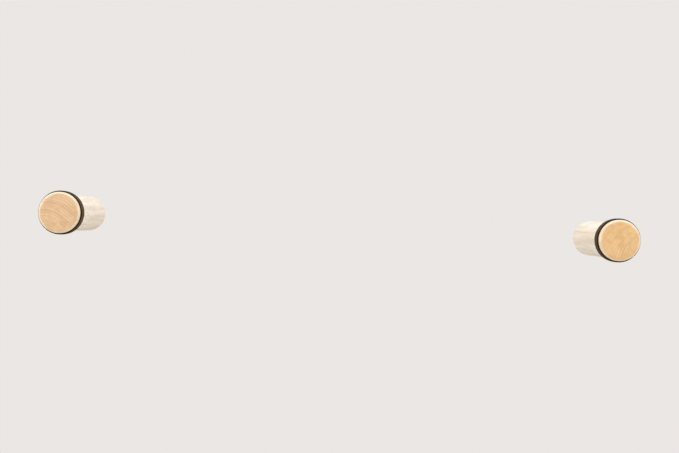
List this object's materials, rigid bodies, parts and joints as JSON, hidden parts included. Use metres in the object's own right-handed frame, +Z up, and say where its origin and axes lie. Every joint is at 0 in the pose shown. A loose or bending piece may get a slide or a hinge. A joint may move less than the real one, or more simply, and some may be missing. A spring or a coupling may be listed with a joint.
{
  "type": "bicycle wall rack",
  "caption": "Straight round wooden wall pegs with dark leather sleeves behind rounded heads, on hidden stud-and-plug fixings, that hold a bicycle by its top tube.",
  "frame": {"origin": "on the wall's surface, midway between the two pegs' axes", "axes": "+X to the right along the wall as seen by someone who faces it, +Y into the wall, +Z up; the pegs stand out along -Y"},
  "size_m": [0.4964, 0.3253, 0.0594],
  "materials": {
    "beech_head": "oiled end grain, satin",
    "beech_shaft": "sanded long grain, satin",
    "beech_dowel": "raw",
    "brown_leather": "waxed, matt, with burnished edges",
    "brass": "machined",
    "zinc_steel": "bright zinc plated",
    "grey_nylon": "moulded, matt"
  },
  "bodies": {
    "root": {"left_peg_head": "beech_head", "left_peg_shaft": "beech_shaft", "left_leather_sleeve": "brown_leather", "left_head_dowel": "beech_dowel", "left_threaded_insert": "brass", "left_hanger_bolt": "zinc_steel", "left_wall_plug": "grey_nylon", "right_peg_head": "beech_head", "right_peg_shaft": "beech_shaft", "right_leather_sleeve": "brown_leather", "right_head_dowel": "beech_dowel", "right_threaded_insert": "brass", "right_hanger_bolt": "zinc_steel", "right_wall_plug": "grey_nylon"}
  },
  "joints": []
}
